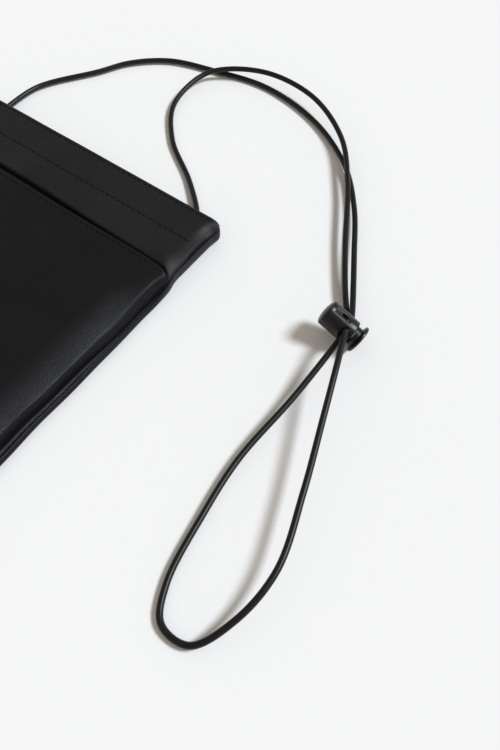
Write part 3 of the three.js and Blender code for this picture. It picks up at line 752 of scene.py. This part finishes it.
def turned_section(foot_y, top_y, radius, fold_y, fine):
    """Section of a panel whose top edge is turned under: [y, depth below its outer face]."""
    bend_y = top_y - radius
    highest = bend_y - SECTION["from_bend"]
    lines = spaced(foot_y + SECTION["from_foot"], highest, SECTION["step"], fine)
    outer = [(foot_y + e, 0.0) for e in NEAR_FOOT] + [(y, 0.0) for y in lines]
    angles = np.radians(np.arange(80, -81, -20))
    turn = [(bend_y + radius * math.cos(a), radius * (1 - math.sin(a))) for a in angles]
    hem_lines = spaced(fold_y + SECTION["from_bend"], highest, SECTION["hem_step"])
    hem = [(y, 2 * radius) for y in hem_lines[::-1]] + [(fold_y, radius + LEATHER / 2)]
    under_lines = spaced(foot_y + SECTION["under_from_foot"], fold_y + SECTION["under_from_fold"],
                         SECTION["under_step"])
    under = [(y, LEATHER) for y in under_lines[::-1]]
    under += [(foot_y + e, LEATHER) for e in NEAR_FOOT[:-1][::-1]]
    return np.array(outer + turn + hem + under)


def panel(name, section, across, seam, surface, furrows, mouth_drop=None):
    """A closed panel: the section swept from side seam to side seam, thinned where it is sewn in."""
    y, u = np.meshgrid(section[:, 0], across, indexing="ij")
    depth = np.repeat(section[:, 1:2], len(across), axis=1)
    half = HALF_WIDTH - seam(y)
    side = (1 - np.abs(u)) * half
    x = u * half
    if mouth_drop is not None:
        y = y + mouth_drop(x, y)
    foot = y - section[:, 0].min()
    on_outer_face = depth == 0
    height = surface(x, y, side, foot) - np.where(on_outer_face, grooves(x, y, furrows), 0)
    z = height - depth * quarter(side / THINNED_OVER) * quarter(foot / THINNED_OVER)
    new_x, new_y = rounded_plan(outline_pull(x, y), y)
    points = np.stack([new_x, new_y, z], axis=-1).reshape(-1, 3) * MM
    # Lighter near the side seam and the top edge: partly wear, partly a painted highlight.
    wear_and_sheen = PANEL_WEAR_AND_SHEEN["seam"] * np.exp(-side / PANEL_WEAR_AND_SHEEN["seam_reach"])
    wear_and_sheen = wear_and_sheen + np.exp(-np.abs(section[:, 0].max() - y) / PANEL_WEAR_AND_SHEEN["top_reach"])
    faces = grid_faces(*u.shape, closed_rows=True)
    obj = make_mesh(name, points, faces, None, wear_and_sheen=np.clip(wear_and_sheen, 0, 1).ravel())
    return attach(welded(obj, WELD), "pouch")


def add_front():
    """The front panel, whose top edge is turned under as its facing."""
    foot_y = SEAM["foot"] - HALF_HEIGHT
    fine = (TOP_STITCH_Y, HEM_STITCH_Y, MOUTH_Y + 1, MOUTH_Y + 3.7)
    section = turned_section(foot_y, HALF_HEIGHT, BAND["hem"], FACING_Y, fine)
    front = panel("front_panel_leather", section, shares_across(), seam_inset, band_top, FRONT_FURROWS)
    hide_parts("front_panel", "front_facing")
    paint(front, PAINTED_BRIGHTER_LEATHER)


def pocket_mouth_drop(x, y):
    return -mouth_fall(x) * smooth((y - (MOUTH_Y - MOUTH_FALL["over"])) / MOUTH_FALL["over"])


def pocket_seam(y):
    return seam_inset(y) + POCKET["edge"]


def add_pocket():
    foot_y = SEAM["foot"] + POCKET["edge"] - HALF_HEIGHT
    fold_y = MOUTH_Y - POCKET["hem_depth"]
    section = turned_section(foot_y, MOUTH_Y, POCKET["hem"], fold_y, (POCKET_STITCH_Y,))
    pocket = panel("pocket_panel_leather", section, shares_across(), pocket_seam, pocket_top,
                   POCKET_FURROWS, pocket_mouth_drop)
    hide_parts("pocket_panel")
    paint(pocket, BLACK_LEATHER)


def roll_profile():
    """The rolled edge's outer and inner faces, as [in from the outline, height] rows."""
    outer = centripetal([(q, 0, z) for q, z in ROLL], ROLL_STEP)[:, [0, 2]]
    along = unit_rows(np.gradient(outer, axis=0))
    normal = np.stack([-along[:, 1], along[:, 0]], axis=1)
    normal *= np.sign(normal[-1, 1])
    thick = LEATHER * quarter(np.arange(len(outer)) / ROLL_THINNED_POINTS)
    inner = outer + normal * thick[:, None]
    return outer, inner


def corner_place(roll, i, j, widest):
    """Where the side's roll and the foot's meet: [in from the side, in from the foot, height].

    Their upper faces meet on the diagonal, so neither runs on under the other.
    """
    reach, nearest = roll[-1][0], roll[widest][0]
    across, along = roll[i][0], roll[j][0]
    if max(i, j) <= widest:
        across = along = roll[min(i, j)][0]
    elif i < widest:
        along = reach + (across - reach) * (reach - along) / (reach - nearest)
    elif j < widest:
        across = reach + (along - reach) * (reach - across) / (reach - nearest)
    return across, along, roll[min(i, j)][1]


def back_place(roll, base, column, row, widest):
    """One point of a face of the back panel: x, y, height, and how much it is painted lighter for wear and as
    a painted highlight. base is the face's height where flat.
    """
    side, across_at = column
    rolled, along_at = row
    across, along, height = 0.0, 0.0, base
    if side and rolled:
        across, along, height = corner_place(roll, across_at, along_at, widest)
    elif side:
        across, height = roll[across_at]
    elif rolled:
        along, height = roll[along_at]
    y = along - HALF_HEIGHT if rolled else along_at
    if side and across_at < widest:
        across *= float(seam_inset(y)) / SEAM["inset"]
    x = side * (HALF_WIDTH - across) if side else across_at
    lift = max(height - base, 0.0) * (float(seam_height(y)) / SEAM["height"] if side else 1.0)
    flat = math.exp(-lift * lift)
    if base == 0:
        lift += BACK_FURROW_SHARE * flat * float(grooves(x, y, BACK_FURROWS))
    if not rolled:
        thinned = 1 - float(quarter((HALF_HEIGHT - y) / (LEATHER / 2)))
        lift += (LEATHER / 2 - base) * thinned * flat
    # The roll's crest is painted lighter: partly wear, partly a painted highlight.
    wear_and_sheen = ROLL_WEAR_AND_SHEEN * math.exp(-((height - SEAM["height"]) ** 2) / 2) if side else 0.0
    return x, y, base + lift, wear_and_sheen


def closed_layers(rows, columns):
    """Faces that close two layers of points, each a grid of rows by columns."""
    size = rows * columns
    outer = grid_faces(rows, columns)
    inner = [tuple(v + size for v in reversed(face)) for face in outer]
    along = [(i * columns + j, i * columns + j + 1) for i in (0, rows - 1) for j in range(columns - 1)]
    across = [(i * columns + j, (i + 1) * columns + j) for j in (0, columns - 1) for i in range(rows - 1)]
    return outer + inner + [(a, b, b + size, a + size) for a, b in along + across]


def add_back():
    """The back panel, with its edge rolled up to the seam along the sides and the foot."""
    outer_roll, inner_roll = roll_profile()
    rolled = range(len(outer_roll))
    widest = int(np.argmin(outer_roll[:, 0]))
    flat_from = outer_roll[-1, 0] + BACK_GRID["from_roll"]
    middle_x = spaced(flat_from - HALF_WIDTH, HALF_WIDTH - flat_from, BACK_GRID["x_step"])
    middle_y = spaced(flat_from - HALF_HEIGHT, HALF_HEIGHT - BACK_GRID["from_top"], BACK_GRID["y_step"],
                      (TOP_STITCH_Y, HEM_STITCH_Y), BACK_GRID["fine_step"], BACK_GRID["reach"])
    rows = [(True, i) for i in rolled] + [(False, y) for y in middle_y]
    rows += [(False, HALF_HEIGHT - edge) for edge in NEAR_TOP]
    columns = [(-1, i) for i in rolled] + [(0, x) for x in middle_x] + [(1, i) for i in reversed(rolled)]
    places = np.array([back_place(roll, base, column, row, widest)
                       for roll, base in ((outer_roll, 0.0), (inner_roll, LEATHER))
                       for row in rows for column in columns])
    x, y = rounded_plan(outline_pull(places[:, 0], places[:, 1]), places[:, 1])
    points = np.stack([x, y, places[:, 2]], axis=1) * MM
    faces = closed_layers(len(rows), len(columns))
    back = make_mesh("back_panel_leather", points, faces, None, wear_and_sheen=places[:, 3])
    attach(welded(back, WELD), "pouch")
    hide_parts("back_panel")
    paint(back, BLACK_LEATHER)


# Sheets are painted lighter at their rims: partly wear, partly a painted highlight.
SHEET_WEAR_AND_SHEEN_REACH = 0.8


def thin_sheet(name, xs, ys, low, thickness):
    """A closed sheet with soft edges over a grid. low(x, y) is the height of its underside."""
    x, y = np.meshgrid(xs, ys)
    edge = np.minimum(np.minimum(x - xs[0], xs[-1] - x), np.minimum(y - ys[0], ys[-1] - y))
    half = thickness / 2 * quarter(np.clip(edge, 0, None) / (thickness / 2))
    middle = low(x, y) + thickness / 2
    plan_x, plan_y = rounded_plan(x, y)
    layers = [np.stack([plan_x, plan_y, middle + s * half], axis=-1).reshape(-1, 3) for s in (-1, 1)]
    points = np.vstack(layers) * MM
    size = len(points) // 2
    faces = grid_faces(*x.shape)
    faces = faces + [tuple(v + size for v in reversed(f)) for f in faces]
    wear_and_sheen = np.tile(np.exp(-edge.ravel() / SHEET_WEAR_AND_SHEEN_REACH), 2)
    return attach(welded(make_mesh(name, points, faces, None, wear_and_sheen=wear_and_sheen), WELD), "pouch")


def edge_lines(low, high, step, fine=(), fine_step=0.5, reach=1.5):
    """Grid lines of a thin sheet, closer together at its rim."""
    rim = [0.0, 0.06, 0.15, 0.3, 0.5]
    inner = spaced(low + 1.0, high - 1.0, step, fine, fine_step, reach)
    return np.concatenate([[low + e for e in rim], inner, [high - e for e in reversed(rim)]])


# The rolled edge lifts what lies on the inside of the back panel near its sides.
RISE = {"height": 1.6, "from_side": 2.5, "over": 5}
# The back facing arches over each cord end: a round top over two sides that ease down.
ARCH = {"half": 2.6, "top": 0.9, "sides": 2.3, "ease_from": 2.3, "ease_over": 2.2,
        "end_from": 1, "end_over": 4}
FACING = {"edge": 3.6, "below_top": 0.3, "thickness": 0.8, "above": 0.2, "furrow_share": 0.7}
# The pocket's lining is narrower at each side and starts higher than the other two.
LINING = {"margin": 9, "thickness": 0.4, "above": 0.3, "below": 0.8, "step": 3.0,
          "narrower": 2, "higher": 1.5, "from_facing": 0.4, "from_hem": 0.5}


def back_rise(x):
    inwards = smooth((HALF_WIDTH - np.abs(x) - RISE["from_side"]) / RISE["over"])
    return RISE["height"] * (1 - inwards)


def facing_low_face(x, y):
    """Height of the back facing's underside, arched over each cord end."""
    from_cord = np.abs(np.abs(x) - EXIT_X / MM)
    round_top = np.sqrt(np.clip(1 - (from_cord / ARCH["half"]) ** 2, 0, 1)) * ARCH["top"] + ARCH["sides"]
    beside = ARCH["sides"] * (1 - smooth((from_cord - ARCH["ease_from"]) / ARCH["ease_over"]))
    arch = np.where(from_cord < ARCH["half"], round_top, beside)
    arch = arch * smooth((y - FACING_Y - ARCH["end_from"]) / ARCH["end_over"])
    furrow = FACING["furrow_share"] * grooves(x, y, FACING_FURROWS)
    return LEATHER + FACING["above"] + back_rise(x) + arch - furrow


def add_back_facing():
    """The strip inside the mouth."""
    reach = HALF_WIDTH - FACING["edge"]
    top = HALF_HEIGHT - FACING["below_top"]
    xs = edge_lines(-reach, reach, ACROSS_STEP, (-EXIT_X / MM, EXIT_X / MM), fine_step=0.35, reach=5)
    ys = edge_lines(FACING_Y, top, 1.2, (TOP_STITCH_Y,), fine_step=0.4, reach=1.2)
    facing = thin_sheet("back_facing_leather", xs, ys, facing_low_face, FACING["thickness"])
    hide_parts("back_facing")
    paint(facing, PAINTED_BRIGHTER_LEATHER)


def ripple(x, y):
    """Fine unevenness of thin cloth."""
    return 0.08 * np.sin(x / 5.0 + y / 9.0) + 0.06 * np.sin(y / 4.0 - x / 12.0)


def on_back_panel(x, y):
    return LEATHER + LINING["above"] + back_rise(x) + ripple(x, y)


def lining_below(surface):
    """Height of the underside of a lining that lies under a panel's top face."""
    def low(x, y):
        side = outline_pull(HALF_WIDTH + 0 * x, y) - pocket_seam(y) - np.abs(x)
        foot = y + HALF_HEIGHT - SEAM["foot"] - POCKET["edge"]
        return surface(x, y, side, foot) - (LEATHER + LINING["below"]) + ripple(x, y)
    return low


def add_lining(name, node, reach, foot, top, low):
    xs = edge_lines(-reach, reach, LINING["step"])
    ys = edge_lines(foot, top, LINING["step"])
    lining = thin_sheet(name, xs, ys, low, LINING["thickness"])
    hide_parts(node)
    paint(lining, LINING_CLOTH)


def add_linings():
    reach = HALF_WIDTH - LINING["margin"]
    foot = LINING["margin"] - HALF_HEIGHT
    top = FACING_Y - LINING["from_facing"]
    pocket_top_y = MOUTH_Y - POCKET["hem_depth"] - LINING["from_hem"]
    add_lining("back_lining_cloth", "back_lining", reach, foot, top, on_back_panel)
    add_lining("front_lining_cloth", "front_lining", reach, foot, top, lining_below(band_top))
    add_lining("pocket_lining_cloth", "pocket_lining", reach - LINING["narrower"], foot + LINING["higher"],
               pocket_top_y, lining_below(pocket_top))


add_back()
add_front()
add_pocket()
add_back_facing()
add_linings()

# ---------- Stitching ----------


def stitches(name, line_y, ends, surface, lift_share=1):
    """A row of stitches. Each one rises from a needle hole, lies on the leather and goes down again."""
    parts = []
    pitch, margin = STITCH["pitch"], STITCH["margin"]
    first = -math.floor(ends / pitch)
    count = len(STITCH_LIFT)
    for k in range(first, -first):
        xs = np.linspace((k + margin) * pitch, (k + 1 - margin) * pitch, count)
        wave = math.sin(k * STITCH["wander_turn"])
        ys = line_y + STITCH["skew"] * np.linspace(-1, 1, count) + STITCH["wander"] * wave
        zs = surface(xs, ys) + lift_share * STITCH_LIFT
        plan_x, plan_y = rounded_plan(outline_pull(xs, ys), ys)
        path = np.stack([plan_x, plan_y, zs], axis=1) * MM
        parts.append(tube_data(path, STITCH["radius"] * MM, STITCH["sides"]))
    points, faces, uv = joined(parts)
    obj = make_mesh(name, points, faces, "pouch", uv)
    return paint(obj, THREAD)


def on_front(x, y):
    side = HALF_WIDTH - seam_inset(y) - np.abs(x)
    foot = y + HALF_HEIGHT - SEAM["foot"]
    return band_top(x, y, side, foot) - STITCH["sunk"] * grooves(x, y, FRONT_FURROWS)


def on_pocket(x, y):
    side = HALF_WIDTH - pocket_seam(y) - np.abs(x)
    foot = y + HALF_HEIGHT - SEAM["foot"] - POCKET["edge"]
    return pocket_top(x, y, side, foot) - STITCH["sunk"] * grooves(x, y, POCKET_FURROWS)


def on_back(x, y):
    return STITCH["back_height"] + 0 * x


def two_rows(face, furrows, surface, lift_share=1):
    """The stitches along the top edge and along the hem of the facing, each in its furrow."""
    for row_name, (line_y, ends) in zip(("top_edge", "hem"), furrows):
        stitches(row_name + "_stitching_" + face, line_y, ends, surface, lift_share)


two_rows("front", FRONT_FURROWS, on_front)
stitches("pocket_mouth_stitching", POCKET_STITCH_Y, HALF_WIDTH - 8, on_pocket)
two_rows("back", BACK_FURROWS, on_back, STITCH["back_lift"])

# ---------- Zip ----------

COIL = {"pitch": 1.25, "wire": 0.27, "sides": 7, "points": 14,
        "from_middle": 0.3, "to_tape": 2.4, "half": 0.8}
# Section of a tape: how far it lies from the middle of the mouth, and y.
TAPE_SECTION = [(0.62, 83.15), (1.4, 83.15), (2.3, 83.1), (2.8, 82.8), (3.02, 82.2), (3.05, 81.0),
                (3.05, 78.5), (3.05, 76.2), (3.05, 74.05)]
# A tape thins over its last points.
TAPE = {"half": 0.24, "step": 0.35, "row_step": 2.0, "thinned_points": 1.5, "least": 0.2, "weld": 1e-6}
MOUTH_Z = (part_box("zip_coil_back")[0].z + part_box("zip_coil_front")[1].z) / 2 / MM


def add_coil(half_name, side):
    """One half of the zip: a nylon coil whose turns reach in to meet the other half's."""
    low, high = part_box("zip_coil_" + half_name)
    pitch, wire = COIL["pitch"], COIL["wire"]
    centre_y = (low.y + high.y) / 2 / MM
    outer_z = COIL["to_tape"] - wire
    inner_z = COIL["from_middle"] + wire
    start = low.x / MM + wire + (pitch / 2 if side > 0 else 0)
    turns = int((high.x / MM - wire - start) / pitch)
    t = np.arange(turns * COIL["points"] + 1) / COIL["points"]
    angle = 2 * np.pi * t
    z = MOUTH_Z + side * ((outer_z + inner_z) / 2 + (outer_z - inner_z) / 2 * np.cos(angle))
    y = centre_y + (COIL["half"] - wire) * np.sin(angle)
    x = start + pitch * t
    points, faces, uv = tube_data(np.stack([x, y, z], axis=1) * MM, wire * MM, COIL["sides"])
    obj = make_mesh("zip_coil_" + half_name + "_turns", points, faces, "pouch", uv)
    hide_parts("zip_coil_" + half_name)
    paint(obj, NYLON)


def add_tape(half_name, side):
    """A woven tape: flat under its coil, then turned down beside it along the facing."""
    low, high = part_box("zip_tape_" + half_name)
    line = centripetal([(0, y, MOUTH_Z + side * z) for z, y in TAPE_SECTION], TAPE["step"])
    normal = np.cross(unit_rows(np.gradient(line, axis=0)), [1.0, 0, 0])
    from_end = np.minimum(np.arange(len(line)), np.arange(len(line))[::-1])
    half = TAPE["half"] * quarter(from_end / TAPE["thinned_points"] + TAPE["least"])
    section = np.vstack([line + normal * half[:, None], (line - normal * half[:, None])[::-1]])
    xs = spaced(low.x / MM, high.x / MM, TAPE["row_step"])
    points = np.array([(x, y, z) for x in xs for _, y, z in section]) * MM
    count = len(section)
    last = (len(xs) - 1) * count
    faces = [(i + j, i + (j + 1) % count, i + count + (j + 1) % count, i + count + j)
             for i in range(0, last, count) for j in range(count)]
    faces += [tuple(range(count)), tuple(range(last, last + count))]
    tape = make_mesh("zip_tape_" + half_name + "_woven", points, faces, None)
    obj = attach(welded(tape, TAPE["weld"]), "pouch")
    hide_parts("zip_tape_" + half_name)
    paint(obj, TAPE_CLOTH)


for zip_half, half_side in (("back", -1), ("front", 1)):
    add_coil(zip_half, half_side)
    add_tape(zip_half, half_side)
